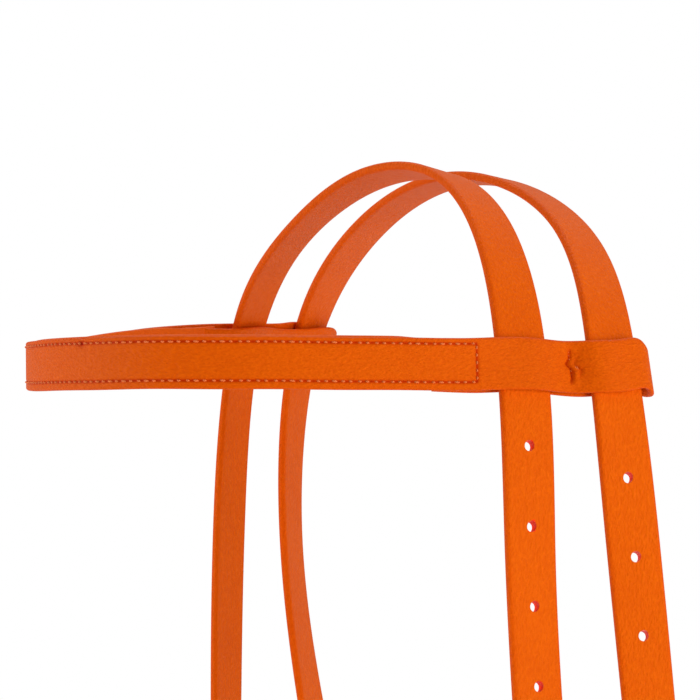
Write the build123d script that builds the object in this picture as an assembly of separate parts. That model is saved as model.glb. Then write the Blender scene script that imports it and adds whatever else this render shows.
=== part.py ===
from build123d import *
import math
import os

import numpy as np

# A horse bridle headstall in synthetic leather. Millimetres and degrees.
# +X is the horse's left (near) side, -Y points to its forehead, +Z is up.
# The origin is the underside of the crown strap on the poll, on the middle plane.

# Straps
STRAP_WIDTH = 17.5
STRAP_THICK = 3.0
HOLE_RADIUS = 1.75
HOLE_PITCH = 26.5
HOLE_COUNT = 8
FASTENED_HOLE = 6
TAIL_BELOW_PRONG = 55.0
TIP_RADIUS = 6.0
SECTION_SPACING = 14.0

# Each strap's route, near side first: x, y, z, then the yaw and the tilt of its width.
CROWN_ROUTE = [
    (88.3, -11.7, -208.0, 8.5, 0.0),
    (87.2, -17.2, -123.4, 6.3, -12.0),
    (84.6, -19.0, -58.4, 10.4, -12.0),
    (31.3, -12.7, 2.1, -3.1, -13.0),
    (0.0, -19.2, 1.5, -5.6, -7.3),
    (-31.3, -25.0, -13.4, -10.2, 5.4),
    (-84.6, -19.0, -58.4, -23.4, 1.9),
    (-87.5, -24.5, -123.4, -24.5, 1.9),
    (-85.4, -27.5, -208.0, -26.8, 0.0),
]
THROAT_ROUTE = [
    (99.2, 27.5, -208.0, 14.0, 0.0),
    (96.1, 19.0, -123.4, 18.5, -6.0),
    (91.7, 12.9, -58.4, 7.0, -6.0),
    (55.0, 24.0, -15.4, -0.2, -14.6),
    (0.0, 20.4, 1.3, -4.4, -6.7),
    (-57.9, 15.7, -18.8, -9.4, 1.8),
    (-97.5, 16.8, -58.4, -22.9, 3.3),
    (-98.8, 9.6, -123.4, -35.8, 3.3),
    (-97.3, 19.9, -208.0, -31.7, 0.0),
    (-91.0, 36.0, -295.0, -20.0, 0.0),
    (-68.0, 50.0, -370.0, -9.0, 0.0),
    (0.0, 58.0, -412.0, 0.0, 0.0),
    (66.0, 48.0, -390.0, 7.0, 0.0),
    (90.0, 34.0, -361.0, 12.0, 0.0),
]
CROWN_FIRST_HOLE_Z = -86.4
THROAT_FIRST_HOLE_Z = -97.9
THROAT_PLUMB_Z = -332.0

# Browband: a strap on edge whose ends fold back inside to make the loops.
# Its route runs from the near loops round the forehead to the off loops.
BAND_HEIGHT = 17.0
BAND_LAYER = 2.2
BAND_ROUTE = [
    (85.7, -33.5, -60.4, 0.0, 90.0),
    (73.1, -78.4, -58.4, 0.0, 90.0),
    (44.1, -130.3, -58.1, 0.0, 90.0),
    (0.0, -144.2, -60.6, 0.0, 90.0),
    (-44.1, -130.3, -62.8, 0.0, 90.0),
    (-73.1, -78.4, -62.2, 0.0, 90.0),
    (-85.9, -33.5, -61.2, 0.0, 90.0),
]
BAND_SPACING = 10.0
NEAR_BAND_STATION = 2
OFF_BAND_STATION = 6
LOOP_REACH = 5.1
LOOP_LEAN = {"near": -0.24, "off": 0.38}
JOINT_LAP = 2.0
FOLD_SLACK = {"near": 1.4, "off": 4.8}
TURN_BACK_REST = {"near": [(79.2, -34.0), (78.2, -50.5)], "off": [(76.6, -34.0), (77.2, -50.5)]}
LINING_GAP = 0.15
LINING_SKIP = 3
TACK_SIZE = (3.0, 10.5)
TACK_SHORT = 1.9
THREAD_WIDTH = 0.7
THREAD_RISE = 0.4
STITCH_INSET_TOP = 1.8
STITCH_INSET_BOTTOM = 2.8
THREAD_GAP = 0.06
STITCH_SKIP = 1

# Buckles: the frame leans so that its far bar crosses outside the billet
WIRE_RADIUS = 1.5
FRAME_WIDTH = 22.6
FRAME_RISE = 18.0
FRAME_CORNER = 2.4
PRONG_RADIUS = 1.1
PRONG_EYE_WIDTH = 3.6
PRONG_FIT = 0.08
PRONG_ABOVE_HEEL = 8.2
LAYER_STEP = 3.4
FOLD_GAP = 0.25
TURN_BACK_LENGTH = 62.0
SNAP_TURN_BACK = 40.0
PRONG_SLOT = (3.0, 10.8)
KEEPER_THICK = 1.8
KEEPER_HEIGHT = 8.0
KEEPER_GAP = 0.4
FIXED_KEEPER_DROP = 12.0
SLIDING_KEEPER_DROP = 32.0

# Snaps at the bit ends of both cheeks
SNAP_BAR_Z = -405.0
EYE_WIRE = 1.75
EYE_WIDTH = 24.0
EYE_CORNER = 3.0
EYE_HEIGHT = 12.5
STEM_RADIUS = 2.0
STEM_HEAD_RADIUS = 3.2
BARREL_RADIUS = 5.5
BARREL_TOP = -16.0
BARREL_BOTTOM = -50.0
BOLT_RADIUS = 2.5
RUNNING_FIT = 0.08
BOLT_TOP = -40.0
BOLT_TIP = -62.0
BOLT_TRAVEL = 12.0
SPRING_TOP = -24.1
SPRING_WIRE = 0.35
SPRING_TURNS = 7
KNOB_Z = -45.0
HOOK_WIRE = 2.9
HOOK_REACH = 15.0
HOOK_BOTTOM = -76.0
HOOK_TIP_Z = -61.0
HOOK_TIP_RADIUS = 4.0

heel_n = -LAYER_STEP - STRAP_THICK / 2 - FOLD_GAP - WIRE_RADIUS
far_n = STRAP_THICK / 2 + 0.3 + WIRE_RADIUS


def save(node, shape):
    export_step(shape, f"parts/{node}.step")


def hang_plane(place, yaw, outward):
    """Plane through a plumb strap: x is outward from the horse, y is up."""
    turn = math.radians(yaw)
    out = Vector(outward * math.cos(turn), -outward * math.sin(turn), 0)
    return Plane(origin=(place[0], place[1], 0), x_dir=out, z_dir=out.cross(Vector(0, 0, 1)))


def natural_spline(rows, count):
    """Samples of a natural cubic spline through rows, with their slopes."""
    data = np.array(rows, dtype=float)
    span = np.linalg.norm(np.diff(data[:, :3], axis=0), axis=1)
    knots = np.concatenate([[0], np.cumsum(span)])
    last = len(data) - 1
    system = np.eye(last + 1)
    right = np.zeros_like(data)
    for i in range(1, last):
        system[i, i - 1 : i + 2] = span[i - 1], 2 * (span[i - 1] + span[i]), span[i]
        right[i] = 6 * ((data[i + 1] - data[i]) / span[i] - (data[i] - data[i - 1]) / span[i - 1])
    bend = np.linalg.solve(system, right)
    values, slopes = [], []
    for place in np.linspace(0, knots[-1], count):
        i = min(max(int(np.searchsorted(knots, place)) - 1, 0), last - 1)
        a = (knots[i + 1] - place) / span[i]
        b = 1 - a
        square = span[i] ** 2 / 6
        values.append(a * data[i] + b * data[i + 1]
                      + ((a**3 - a) * bend[i] + (b**3 - b) * bend[i + 1]) * square)
        slopes.append((data[i + 1] - data[i]) / span[i]
                      + ((1 - 3 * a * a) * bend[i] + (3 * b * b - 1) * bend[i + 1]) * span[i] / 6)
    return values, slopes, knots[-1]


def section_planes(route, spacing):
    """Planes square to a route: x across the strap's width, y through its thickness."""
    count = round(natural_spline(route, 2)[2] / spacing) + 1
    planes = []
    for value, slope in zip(*natural_spline(route, count)[:2]):
        along = Vector(*slope[:3]).normalized()
        yaw, tilt = math.radians(value[3]), math.radians(value[4])
        side = Vector(math.sin(yaw) * math.cos(tilt), math.cos(yaw) * math.cos(tilt), math.sin(tilt))
        side = (side - along * side.dot(along)).normalized()
        planes.append(Plane(origin=tuple(value[:3]), x_dir=side, z_dir=along))
    return planes


def ribbon(planes, width, thick, across=0.0, through=0.0):
    """Strip lofted through section planes, off their origins by across and through."""
    return loft([plane * Pos(across, through, 0) * Rectangle(width, thick) for plane in planes])


def squared(plane, along):
    """The same section turned to face exactly along a direction."""
    side = plane.x_dir - along * plane.x_dir.dot(along)
    return Plane(origin=plane.origin, x_dir=side, z_dir=along)


def strap_body(route):
    """Strap along a route with both ends plumb."""
    planes = section_planes(route, SECTION_SPACING)
    for i in (0, -1):
        planes[i] = squared(planes[i], Vector(0, 0, 1 if planes[i].z_dir.Z > 0 else -1))
    return ribbon(planes, STRAP_WIDTH, STRAP_THICK)


def traced(path, thick, plane, width):
    """Strip of one thickness along a path drawn in a plane, centred on it."""
    return extrude(plane * trace(path, thick), width / 2, both=True)


def billet_tail(route_end, first_hole):
    """Plumb end of a billet with its rounded tip."""
    top = route_end[2]
    tip = first_hole - FASTENED_HOLE * HOLE_PITCH - TAIL_BELOW_PRONG
    outline = Rectangle(STRAP_WIDTH, top - tip)
    outline = fillet(outline.vertices().group_by(Axis.Y)[-1], TIP_RADIUS)
    plane = hang_plane(route_end, route_end[3], 1)
    face_plane = Plane(origin=plane.origin + Vector(0, 0, (top + tip) / 2),
                       x_dir=plane.z_dir, z_dir=plane.x_dir)
    return extrude(face_plane * outline, STRAP_THICK / 2, both=True)


def hole_cutters(route, first_hole):
    """Round holes down the billet and the drawn-out hole at the prong."""
    values, _, _ = natural_spline(route, 400)
    near_leg = sorted((v for v in values if v[0] > 50 and v[2] > route[0][2]), key=lambda v: v[2])
    cutters = []
    for k in range(HOLE_COUNT):
        z = first_hole - k * HOLE_PITCH
        at = min(near_leg, key=lambda v: abs(v[2] - z)) if z > route[0][2] else route[0]
        plane = hang_plane((at[0], at[1]), at[3], 1)
        if k == FASTENED_HOLE:
            shape = Box(12, PRONG_SLOT[1], PRONG_SLOT[0])
        else:
            shape = Rot(0, 90, 0) * Cylinder(HOLE_RADIUS, 12)
        cutters.append(plane.location * Pos(0, z, 0) * shape)
    return cutters


def fold_path(bar_n, bar_z, main_n, turn, end_z, way):
    """Centreline of a strap end turned back round a bar; way is +1 when the bar is at the top."""
    reach = abs(bar_n - main_n)
    back = 2 * bar_n - main_n
    close = main_n + (STRAP_THICK + 0.1) * (1 if back > main_n else -1)
    arc = ThreePointArc((main_n, bar_z), (bar_n, bar_z + way * reach), (back, bar_z))
    settle = Spline((back, bar_z), (close, bar_z - way * 14), tangents=((0, -way), (0, -way)))
    rest = Line((close, bar_z - way * 14), (close, bar_z - way * turn))
    main = Line((main_n, end_z), (main_n, bar_z))
    return [main, arc, settle, rest]


def ring(width, height, corner, wire):
    """Round wire ring in the plane of its own rounded rectangle."""
    path = RectangleRounded(width, height, corner).wire()
    start = Plane(origin=path @ 0, z_dir=path % 0)
    return sweep(start * Circle(wire), path=path)


def buckle_frame(plane, heel_z):
    lean = math.atan2(far_n - heel_n, FRAME_RISE)
    length = math.hypot(far_n - heel_n, FRAME_RISE)
    middle = plane.from_local_coords(((far_n + heel_n) / 2, heel_z + FRAME_RISE / 2, 0))
    up = plane.y_dir * math.cos(lean) + plane.x_dir * math.sin(lean)
    frame_plane = Plane(origin=middle, x_dir=plane.z_dir, z_dir=plane.z_dir.cross(up))
    return frame_plane * ring(FRAME_WIDTH, length, FRAME_CORNER, WIRE_RADIUS)


def buckle_prong(plane, heel_z):
    """Prong that turns on the heel bar and rests on the far bar."""
    across, rise = far_n - heel_n, FRAME_RISE
    reach = math.hypot(across, rise)
    lean = math.atan2(across, rise) + math.asin((WIRE_RADIUS + PRONG_RADIUS + 0.05) / reach)
    start = WIRE_RADIUS + PRONG_FIT + 0.3
    at_heel = Plane(origin=plane.from_local_coords((heel_n, heel_z, 0)),
                    z_dir=plane.x_dir * math.sin(lean) + plane.y_dir * math.cos(lean))
    rod = Pos(0, 0, start) * Cylinder(PRONG_RADIUS, reach + 2.5 - start,
                                      align=(Align.CENTER, Align.CENTER, Align.MIN))
    eye_axis = Plane(origin=at_heel.origin, z_dir=plane.z_dir)
    eye = Cylinder(WIRE_RADIUS + PRONG_FIT + 1.0, PRONG_EYE_WIDTH)
    bore = Cylinder(WIRE_RADIUS + PRONG_FIT, PRONG_EYE_WIDTH + 4)
    return at_heel * rod + eye_axis * eye - eye_axis * bore


def keeper(plane, mid_z, inner_n, outer_n, gap):
    """Flat leather loop round every layer at a buckle."""
    middle = (inner_n + outer_n) / 2
    deep = outer_n - inner_n + 2 * gap
    wide = STRAP_WIDTH + 2 * gap
    outside = RectangleRounded(deep + 2 * KEEPER_THICK, wide + 2 * KEEPER_THICK, 2.0)
    loop = extrude(outside - RectangleRounded(deep, wide, 0.4), KEEPER_HEIGHT / 2, both=True)
    level = Plane(origin=plane.from_local_coords((middle, mid_z, 0)), x_dir=plane.x_dir, z_dir=(0, 0, 1))
    return level * loop


def thread_pair(plane, n, top, bottom):
    """Two rows of stitches that hold a turned-back end."""
    rows = [
        Pos(n, (top + bottom) / 2, side * (STRAP_WIDTH / 2 - 2.2))
        * Box(THREAD_RISE, top - bottom, THREAD_WIDTH)
        for side in (-1, 1)
    ]
    return plane.location * (rows[0] + rows[1])


def save_buckle(name, plane, first_hole):
    """Frame, prong, keepers and stitching of one buckle. Returns the heel bar's height."""
    heel_z = first_hole - FASTENED_HOLE * HOLE_PITCH - PRONG_ABOVE_HEEL
    inner_n = -LAYER_STEP - 1.5 * STRAP_THICK - 0.1
    outer_n = STRAP_THICK / 2
    save(f"{name}_buckle_frame", buckle_frame(plane, heel_z))
    save(f"{name}_buckle_prong", buckle_prong(plane, heel_z))
    fixed = keeper(plane, heel_z - FIXED_KEEPER_DROP - 4, inner_n, outer_n, 0.2)
    sliding = keeper(plane, heel_z - SLIDING_KEEPER_DROP, inner_n, outer_n, KEEPER_GAP)
    save(f"{name}_fixed_keeper", fixed)
    save(f"{name}_sliding_keeper", sliding)
    stitch_n = inner_n - THREAD_RISE / 2
    stitch_end = heel_z - TURN_BACK_LENGTH + 1.5
    save(f"{name}_buckle_stitching", thread_pair(plane, stitch_n, stitch_end + 11.5, stitch_end))
    return heel_z


def fold_slot(plane, heel_z):
    """Cutter for the prong's slot through the fold at the heel bar."""
    return plane.location * Pos(heel_n, heel_z + 1.0, 0) * Box(12, 12, PRONG_EYE_WIDTH + 0.8)


def snap_parts(plane, bar_n):
    """Swivel eye, hook body, bolt and spring of one snap, hanging from its eye bar."""
    origin = plane.from_local_coords((bar_n, SNAP_BAR_Z, 0))
    at = Plane(origin=origin, x_dir=plane.x_dir, z_dir=(0, 0, 1)).location
    down = (Align.CENTER, Align.CENTER, Align.MAX)
    facing = Plane(origin=(0, 0, -EYE_HEIGHT / 2), x_dir=(0, 1, 0), z_dir=(1, 0, 0))
    eye = facing * ring(EYE_WIDTH, EYE_HEIGHT, EYE_CORNER, EYE_WIRE)
    head_top = BARREL_TOP - 3.2
    eye += Pos(0, 0, -EYE_HEIGHT) * Cylinder(STEM_RADIUS, -EYE_HEIGHT - head_top + 1, align=down)
    eye += Pos(0, 0, head_top) * Cylinder(STEM_HEAD_RADIUS, 2.5, align=down)

    barrel = Pos(0, 0, BARREL_TOP) * Cylinder(BARREL_RADIUS, BARREL_TOP - BARREL_BOTTOM, align=down)
    route = FilletPolyline((0, 2.5, -46.5), (0, HOOK_REACH, -49.5), (0, HOOK_REACH, HOOK_BOTTOM),
                           (0, 0, HOOK_BOTTOM), (0, 0, HOOK_TIP_Z), radius=6.0)
    hook = sweep(Plane(origin=route @ 0, z_dir=route % 0) * Circle(HOOK_WIRE), path=route)
    tip = Pos(0, 0, HOOK_TIP_Z) * Cylinder(HOOK_TIP_RADIUS, 6.0, align=down)
    body = barrel + hook + tip
    body -= Pos(0, 0, BARREL_TOP + 1) * Cylinder(STEM_RADIUS + RUNNING_FIT, 4.5, align=down)
    body -= Pos(0, 0, head_top + 0.2) * Cylinder(STEM_HEAD_RADIUS + 0.3, 3.3, align=down)
    bore_length = SPRING_TOP + 0.1 - BARREL_BOTTOM
    body -= Pos(0, 0, BARREL_BOTTOM - 0.5) * Cylinder(
        BOLT_RADIUS + RUNNING_FIT, bore_length + 0.5, align=(Align.CENTER, Align.CENTER, Align.MIN))
    body -= Pos(0, 0, HOOK_TIP_Z + 0.5) * Cylinder(BOLT_RADIUS + 0.3, 2.3, align=down)
    slot_top = KNOB_Z + BOLT_TRAVEL + 1.6
    slot_bottom = KNOB_Z - 1.6
    body -= Pos(BARREL_RADIUS, 0, (slot_top + slot_bottom) / 2) * Box(8, 3.2, slot_top - slot_bottom)

    bolt = Pos(0, 0, BOLT_TOP) * Cylinder(BOLT_RADIUS, BOLT_TOP - BOLT_TIP, align=down)
    bolt += Pos(4.5, 0, KNOB_Z) * Rot(0, 90, 0) * Cylinder(1.2, 7.0)
    knob = Pos(8.6, 0, KNOB_Z) * Rot(0, 90, 0) * Cylinder(3.0, 2.4)
    bolt += fillet(knob.edges(), 0.6)

    length = SPRING_TOP - BOLT_TOP - 2 * SPRING_WIRE - 0.1
    coil = Helix(length / SPRING_TURNS, length, BOLT_RADIUS - SPRING_WIRE - 0.15)
    spring = sweep(Plane(origin=coil @ 0, z_dir=coil % 0) * Circle(SPRING_WIRE), path=coil)
    spring = Pos(0, 0, BOLT_TOP + SPRING_WIRE + 0.05) * spring
    return {"eye": at * eye, "hook": at * body, "bolt": at * bolt, "spring": at * spring}


def save_snap(name, plane, bar_n):
    for part, shape in snap_parts(plane, bar_n).items():
        save(f"{name}_snap_{part}", shape)


def shifted(station, along, out, outward):
    """Point in plan beside a strap's station, along its width and outward from the horse."""
    yaw = math.radians(station[3])
    side = Vector(math.sin(yaw), math.cos(yaw))
    normal = Vector(math.cos(yaw), -math.sin(yaw)) * outward
    return Vector(station[0], station[1]) + side * along + normal * out


def band_loop(name, station, outward, joint):
    """Plan of one browband end: out past both straps, folded, and back inside them."""
    crown, throat = CROWN_ROUTE[station], THROAT_ROUTE[station]
    fold_along = STRAP_WIDTH / 2 + FOLD_SLACK[name]
    outer = [shifted(crown, 0, LOOP_REACH, outward), shifted(throat, 0, LOOP_REACH, outward)]
    inner = [shifted(throat, 0, -LOOP_REACH, outward), shifted(crown, 0, -LOOP_REACH, outward)]
    fold_outer = shifted(throat, fold_along, LOOP_REACH, outward)
    fold_rear = shifted(throat, fold_along + LOOP_REACH, 0, outward)
    fold_inner = shifted(throat, fold_along, -LOOP_REACH, outward)
    rest = [(outward * x, y) for x, y in TURN_BACK_REST[name]]
    rearward = shifted(throat, 1, 0, outward) - shifted(throat, 0, 0, outward)
    leave = joint.z_dir * (1 if joint.z_dir.Y > 0 else -1)
    leave = Vector(leave.X, leave.Y)
    start = Vector(joint.origin.X, joint.origin.Y)
    return [
        Line(start - leave * JOINT_LAP, start),
        Spline(start, *outer, fold_outer, tangents=(leave, rearward)),
        ThreePointArc(fold_outer, fold_rear, fold_inner),
        Spline(fold_inner, *inner, *rest),
    ]


def save_browband():
    planes = section_planes(BAND_ROUTE, BAND_SPACING)
    for i in (0, -1):
        planes[i] = squared(planes[i], Vector(planes[i].z_dir.X, planes[i].z_dir.Y).normalized())
    strap = ribbon(planes, BAND_HEIGHT, BAND_LAYER)
    sides = (("near", NEAR_BAND_STATION, 1, planes[0]), ("off", OFF_BAND_STATION, -1, planes[-1]))
    for name, station, outward, joint in sides:
        level = Plane(origin=(0, 0, joint.origin.Z))
        plan = level * trace(band_loop(name, station, outward, joint), BAND_LAYER)
        up = Vector(LOOP_LEAN[name], 0, 1)
        strap += extrude(plan, BAND_HEIGHT / 2 * up.length, dir=up, both=True)
        between = (shifted(CROWN_ROUTE[station], 0, 0, outward)
                   + shifted(THROAT_ROUTE[station], 0, 0, outward)) / 2
        run = shifted(THROAT_ROUTE[station], 0, 0, outward) - between
        tack = Plane(origin=(between.X, between.Y, joint.origin.Z), x_dir=(run.X, run.Y, 0), z_dir=(0, 0, 1))
        gap = 2 * LOOP_REACH - BAND_LAYER - TACK_SHORT
        pillar = extrude(tack * Rectangle(TACK_SIZE[0], gap), TACK_SIZE[1] / 2 * up.length, dir=up, both=True)
        save(f"{name}_bar_tack", pillar)
    save("browband_strap", strap)

    inward = BAND_LAYER + LINING_GAP
    lining = planes[LINING_SKIP:-LINING_SKIP]
    save("browband_lining", ribbon(lining, BAND_HEIGHT, BAND_LAYER, 0, inward))

    rise = -(BAND_LAYER + THREAD_RISE) / 2 - THREAD_GAP
    top = BAND_HEIGHT / 2 - STITCH_INSET_TOP
    bottom = -BAND_HEIGHT / 2 + STITCH_INSET_BOTTOM
    sewn = planes[STITCH_SKIP:-STITCH_SKIP]
    stitching = ribbon(sewn, THREAD_WIDTH, THREAD_RISE, top, rise)
    stitching += ribbon(sewn, THREAD_WIDTH, THREAD_RISE, bottom, rise)
    for plane in (sewn[0], sewn[-1]):
        post = Box(top - bottom, THREAD_RISE, THREAD_WIDTH)
        stitching += plane * Pos((top + bottom) / 2, rise, 0) * post
    save("browband_stitching", stitching)


def save_crown_and_cheeks():
    near_end, off_end = CROWN_ROUTE[0], CROWN_ROUTE[-1]
    near = hang_plane(near_end, near_end[3], 1)
    off = hang_plane(off_end, off_end[3], -1)
    bar_reach = STRAP_THICK / 2 + 0.3 + EYE_WIRE

    crown = strap_body(CROWN_ROUTE) + billet_tail(near_end, CROWN_FIRST_HOLE_Z)
    drop = fold_path(-bar_reach, SNAP_BAR_Z, 0.0, SNAP_TURN_BACK, off_end[2], -1)
    crown += traced(drop, STRAP_THICK, off, STRAP_WIDTH)
    for cutter in hole_cutters(CROWN_ROUTE, CROWN_FIRST_HOLE_Z):
        crown -= cutter
    save("crown_cheek_strap", crown)
    inner = -(STRAP_THICK + 0.1) - STRAP_THICK / 2 - THREAD_RISE / 2
    end = SNAP_BAR_Z + SNAP_TURN_BACK
    save("off_cheek_stitching", thread_pair(off, inner, end - 1.5, end - 22))
    save_snap("off", off, -bar_reach)

    heel_z = save_buckle("cheek", near, CROWN_FIRST_HOLE_Z)
    low_bar = -LAYER_STEP - bar_reach
    top_fold = fold_path(heel_n, heel_z, -LAYER_STEP, TURN_BACK_LENGTH, (heel_z + SNAP_BAR_Z) / 2, 1)
    low_fold = fold_path(low_bar, SNAP_BAR_Z, -LAYER_STEP, SNAP_TURN_BACK, (heel_z + SNAP_BAR_Z) / 2, -1)
    cheek = traced(top_fold, STRAP_THICK, near, STRAP_WIDTH)
    cheek += traced(low_fold, STRAP_THICK, near, STRAP_WIDTH)
    save("near_cheek_strap", cheek - fold_slot(near, heel_z))
    save("near_cheek_stitching", thread_pair(near, inner - LAYER_STEP, end - 1.5, end - 22))
    save_snap("near", near, low_bar)


def save_throatlatch():
    start = THROAT_ROUTE[0]
    near = hang_plane(start, start[3], 1)
    rise_at = near.from_local_coords((-LAYER_STEP, THROAT_PLUMB_Z, 0))
    route = THROAT_ROUTE + [(rise_at.X, rise_at.Y, rise_at.Z, start[3], 0.0)]
    strap = strap_body(route) + billet_tail(start, THROAT_FIRST_HOLE_Z)
    heel_z = save_buckle("throat", near, THROAT_FIRST_HOLE_Z)
    fold = fold_path(heel_n, heel_z, -LAYER_STEP, TURN_BACK_LENGTH, THROAT_PLUMB_Z, 1)
    strap += traced(fold, STRAP_THICK, near, STRAP_WIDTH) - fold_slot(near, heel_z)
    for cutter in hole_cutters(THROAT_ROUTE, THROAT_FIRST_HOLE_Z):
        strap -= cutter
    save("throatlatch_strap", strap)


os.makedirs("parts", exist_ok=True)
save_browband()
save_crown_and_cheeks()
save_throatlatch()
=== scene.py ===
"""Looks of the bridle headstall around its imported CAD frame.

Lengths are in millimetres until a mesh is made. +X is the horse's near side, -Y forward, +Z up.
"""

import math

import bmesh
import bpy
import numpy as np
from mathutils import Matrix, Vector


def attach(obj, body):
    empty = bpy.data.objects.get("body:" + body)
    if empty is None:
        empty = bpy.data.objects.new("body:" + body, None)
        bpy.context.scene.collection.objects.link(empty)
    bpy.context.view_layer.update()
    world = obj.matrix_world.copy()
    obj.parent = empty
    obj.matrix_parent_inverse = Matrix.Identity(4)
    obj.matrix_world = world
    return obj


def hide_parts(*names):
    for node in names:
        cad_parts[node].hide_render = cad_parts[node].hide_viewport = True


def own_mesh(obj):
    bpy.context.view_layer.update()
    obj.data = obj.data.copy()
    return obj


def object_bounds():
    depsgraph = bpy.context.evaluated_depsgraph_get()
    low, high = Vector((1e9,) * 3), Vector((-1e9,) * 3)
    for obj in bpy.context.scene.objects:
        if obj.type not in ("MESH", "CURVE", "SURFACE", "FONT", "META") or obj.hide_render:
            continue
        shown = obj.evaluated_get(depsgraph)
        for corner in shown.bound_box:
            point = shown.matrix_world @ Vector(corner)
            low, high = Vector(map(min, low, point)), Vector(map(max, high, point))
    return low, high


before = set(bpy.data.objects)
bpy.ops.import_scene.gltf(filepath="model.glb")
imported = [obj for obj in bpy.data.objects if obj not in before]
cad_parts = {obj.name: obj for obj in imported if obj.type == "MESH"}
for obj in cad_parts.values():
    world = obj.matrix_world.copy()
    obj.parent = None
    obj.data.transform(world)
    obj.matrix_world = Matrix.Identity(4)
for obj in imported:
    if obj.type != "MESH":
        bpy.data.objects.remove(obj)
cad_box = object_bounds()

MM = 0.001

# Straps, as in the CAD. Route stations are x, y, z, yaw and tilt of the width, in degrees
STRAP_WIDTH = 17.5
STRAP_THICK = 3.0
STRAP_CORNER = 1.3
EDGE_ROLL = 0.5
SHARP_ANGLE = math.radians(50.0)
NEAR_LEG_X = 60.0
HOLE_RADIUS = 1.75
HOLE_DROP = math.radians(17.0)
HOLE_PITCH = 26.5
HOLE_COUNT = 8
FASTENED_HOLE = 6
TAIL_BELOW_PRONG = 55.0
TIP_RADIUS = 6.0
CROWN_ROUTE = [
    (88.3, -11.7, -208.0, 8.5, 0.0),
    (87.2, -17.2, -123.4, 6.3, -12.0),
    (84.6, -19.0, -58.4, 10.4, -12.0),
    (31.3, -12.7, 2.1, -3.1, -13.0),
    (0.0, -19.2, 1.5, -5.6, -7.3),
    (-31.3, -25.0, -13.4, -10.2, 5.4),
    (-84.6, -19.0, -58.4, -23.4, 1.9),
    (-87.5, -24.5, -123.4, -24.5, 1.9),
    (-85.4, -27.5, -208.0, -26.8, 0.0),
]
THROAT_ROUTE = [
    (99.2, 27.5, -208.0, 14.0, 0.0),
    (96.1, 19.0, -123.4, 18.5, -6.0),
    (91.7, 12.9, -58.4, 7.0, -6.0),
    (55.0, 24.0, -15.4, -0.2, -14.6),
    (0.0, 20.4, 1.3, -4.4, -6.7),
    (-57.9, 15.7, -18.8, -9.4, 1.8),
    (-97.5, 16.8, -58.4, -22.9, 3.3),
    (-98.8, 9.6, -123.4, -35.8, 3.3),
    (-97.3, 19.9, -208.0, -31.7, 0.0),
    (-91.0, 36.0, -295.0, -20.0, 0.0),
    (-68.0, 50.0, -370.0, -9.0, 0.0),
    (0.0, 58.0, -412.0, 0.0, 0.0),
    (66.0, 48.0, -390.0, 7.0, 0.0),
    (90.0, 34.0, -361.0, 12.0, 0.0),
]
CROWN_FIRST_HOLE_Z = -86.4
THROAT_FIRST_HOLE_Z = -97.9
THROAT_PLUMB_Z = -332.0

# Buckles, snaps and folds
WIRE_RADIUS = 1.5
PRONG_ABOVE_HEEL = 8.2
LAYER_STEP = 3.4
LAYER_GAP = 0.1
FOLD_GAP = 0.25
TURN_BACK_LENGTH = 62.0
SNAP_TURN_BACK = 40.0
SETTLE_LENGTH = 14.0
PRONG_SLOT = (3.0, 10.8)
PRONG_EYE_SLOT = (10.8, 4.4, 12.0)
SNAP_BAR_Z = -405.0
EYE_WIRE = 1.75
EYE_GAP = 0.3
HEEL_N = -LAYER_STEP - STRAP_THICK / 2 - FOLD_GAP - WIRE_RADIUS
BAR_REACH = STRAP_THICK / 2 + EYE_GAP + EYE_WIRE
TURNED_FACE = -1.5 * STRAP_THICK - LAYER_GAP

# Keepers: drop below the buckle's heel and gap round the layers
KEEPER_THICK = 1.8
KEEPER_HEIGHT = 8.0
KEEPER_CORNER = 1.4
FIXED_KEEPER = (-16.0, 0.2)
SLIDING_KEEPER = (-32.0, 0.4)

# Browband: x, y, z and the lean of its height, as x per z
BAND_HEIGHT = 17.0
BAND_LAYER = 2.2
BAND_CORNER = 0.85
BAND_ARC = [
    (85.7, -33.5, -59.1, -0.1),
    (73.1, -78.4, -58.2, 0.0),
    (44.1, -130.3, -57.7, 0.0),
    (0.0, -144.2, -59.9, 0.0),
    (-44.1, -130.3, -62.2, 0.0),
    (-73.1, -78.4, -61.4, 0.0),
    (-85.9, -33.5, -60.3, 0.15),
]
BAND_ROW = 0.6

# Browband loops: how far the layers stand off the straps, how they sag and how their fold gives way
LOOPS = [
    ("near", CROWN_ROUTE[2], THROAT_ROUTE[2], 1, BAND_ARC[0][2]),
    ("off", CROWN_ROUTE[6], THROAT_ROUTE[6], -1, BAND_ARC[-1][2]),
]
LOOP_REACH = 3.5
LOOP_PINCH = 2.2
LOOP_LEAN = {"near": -0.24, "off": 0.38}
OUTER_SAG = {"near": 1.7, "off": 0.5}
INNER_SAG = {"near": 3.1, "off": 2.8}
FOLD_SAG = {"near": 1.5, "off": 0.8}
FOLD_REACH = {"near": 2.7, "off": 2.1}
FOLD_SLACK = 1.5
FOLD_CRUSH = {"near": 0.24, "off": 0.34}
FOLD_CRUSH_LENGTH = 6.5
FOLD_REAR = 4.5
TACK_SHARE = 0.52
TACK_HEIGHT = 11.0

# Marks of a bar tack: each one's middle (aft, height) and half sizes; the bar's ends are heights
KNOT_MARK = ((1.7, -1.8), (0.95, 2.8))
CREASE_MARK = ((3.2, -0.6), (0.38, 2.4))
HOLLOW_MARK = ((1.4, 1.5), (3.6, 5.0))
KNOT_ENDS = (-4.0, 0.2)
KNOT_AFT = 1.5
KNOT_RISE = 1.1

# Where the browband's ends lie inside the arc: x on its own side, y and how far they sink
TURN_BACK_REST = {
    "near": [(78.8, -32.0, 1.3), (80.4, -43.0, 0.8), (77.9, -51.0, 0.25)],
    "off": [(76.6, -31.5, 1.4), (79.6, -44.0, 0.8), (77.6, -51.0, 0.5)],
}

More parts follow.
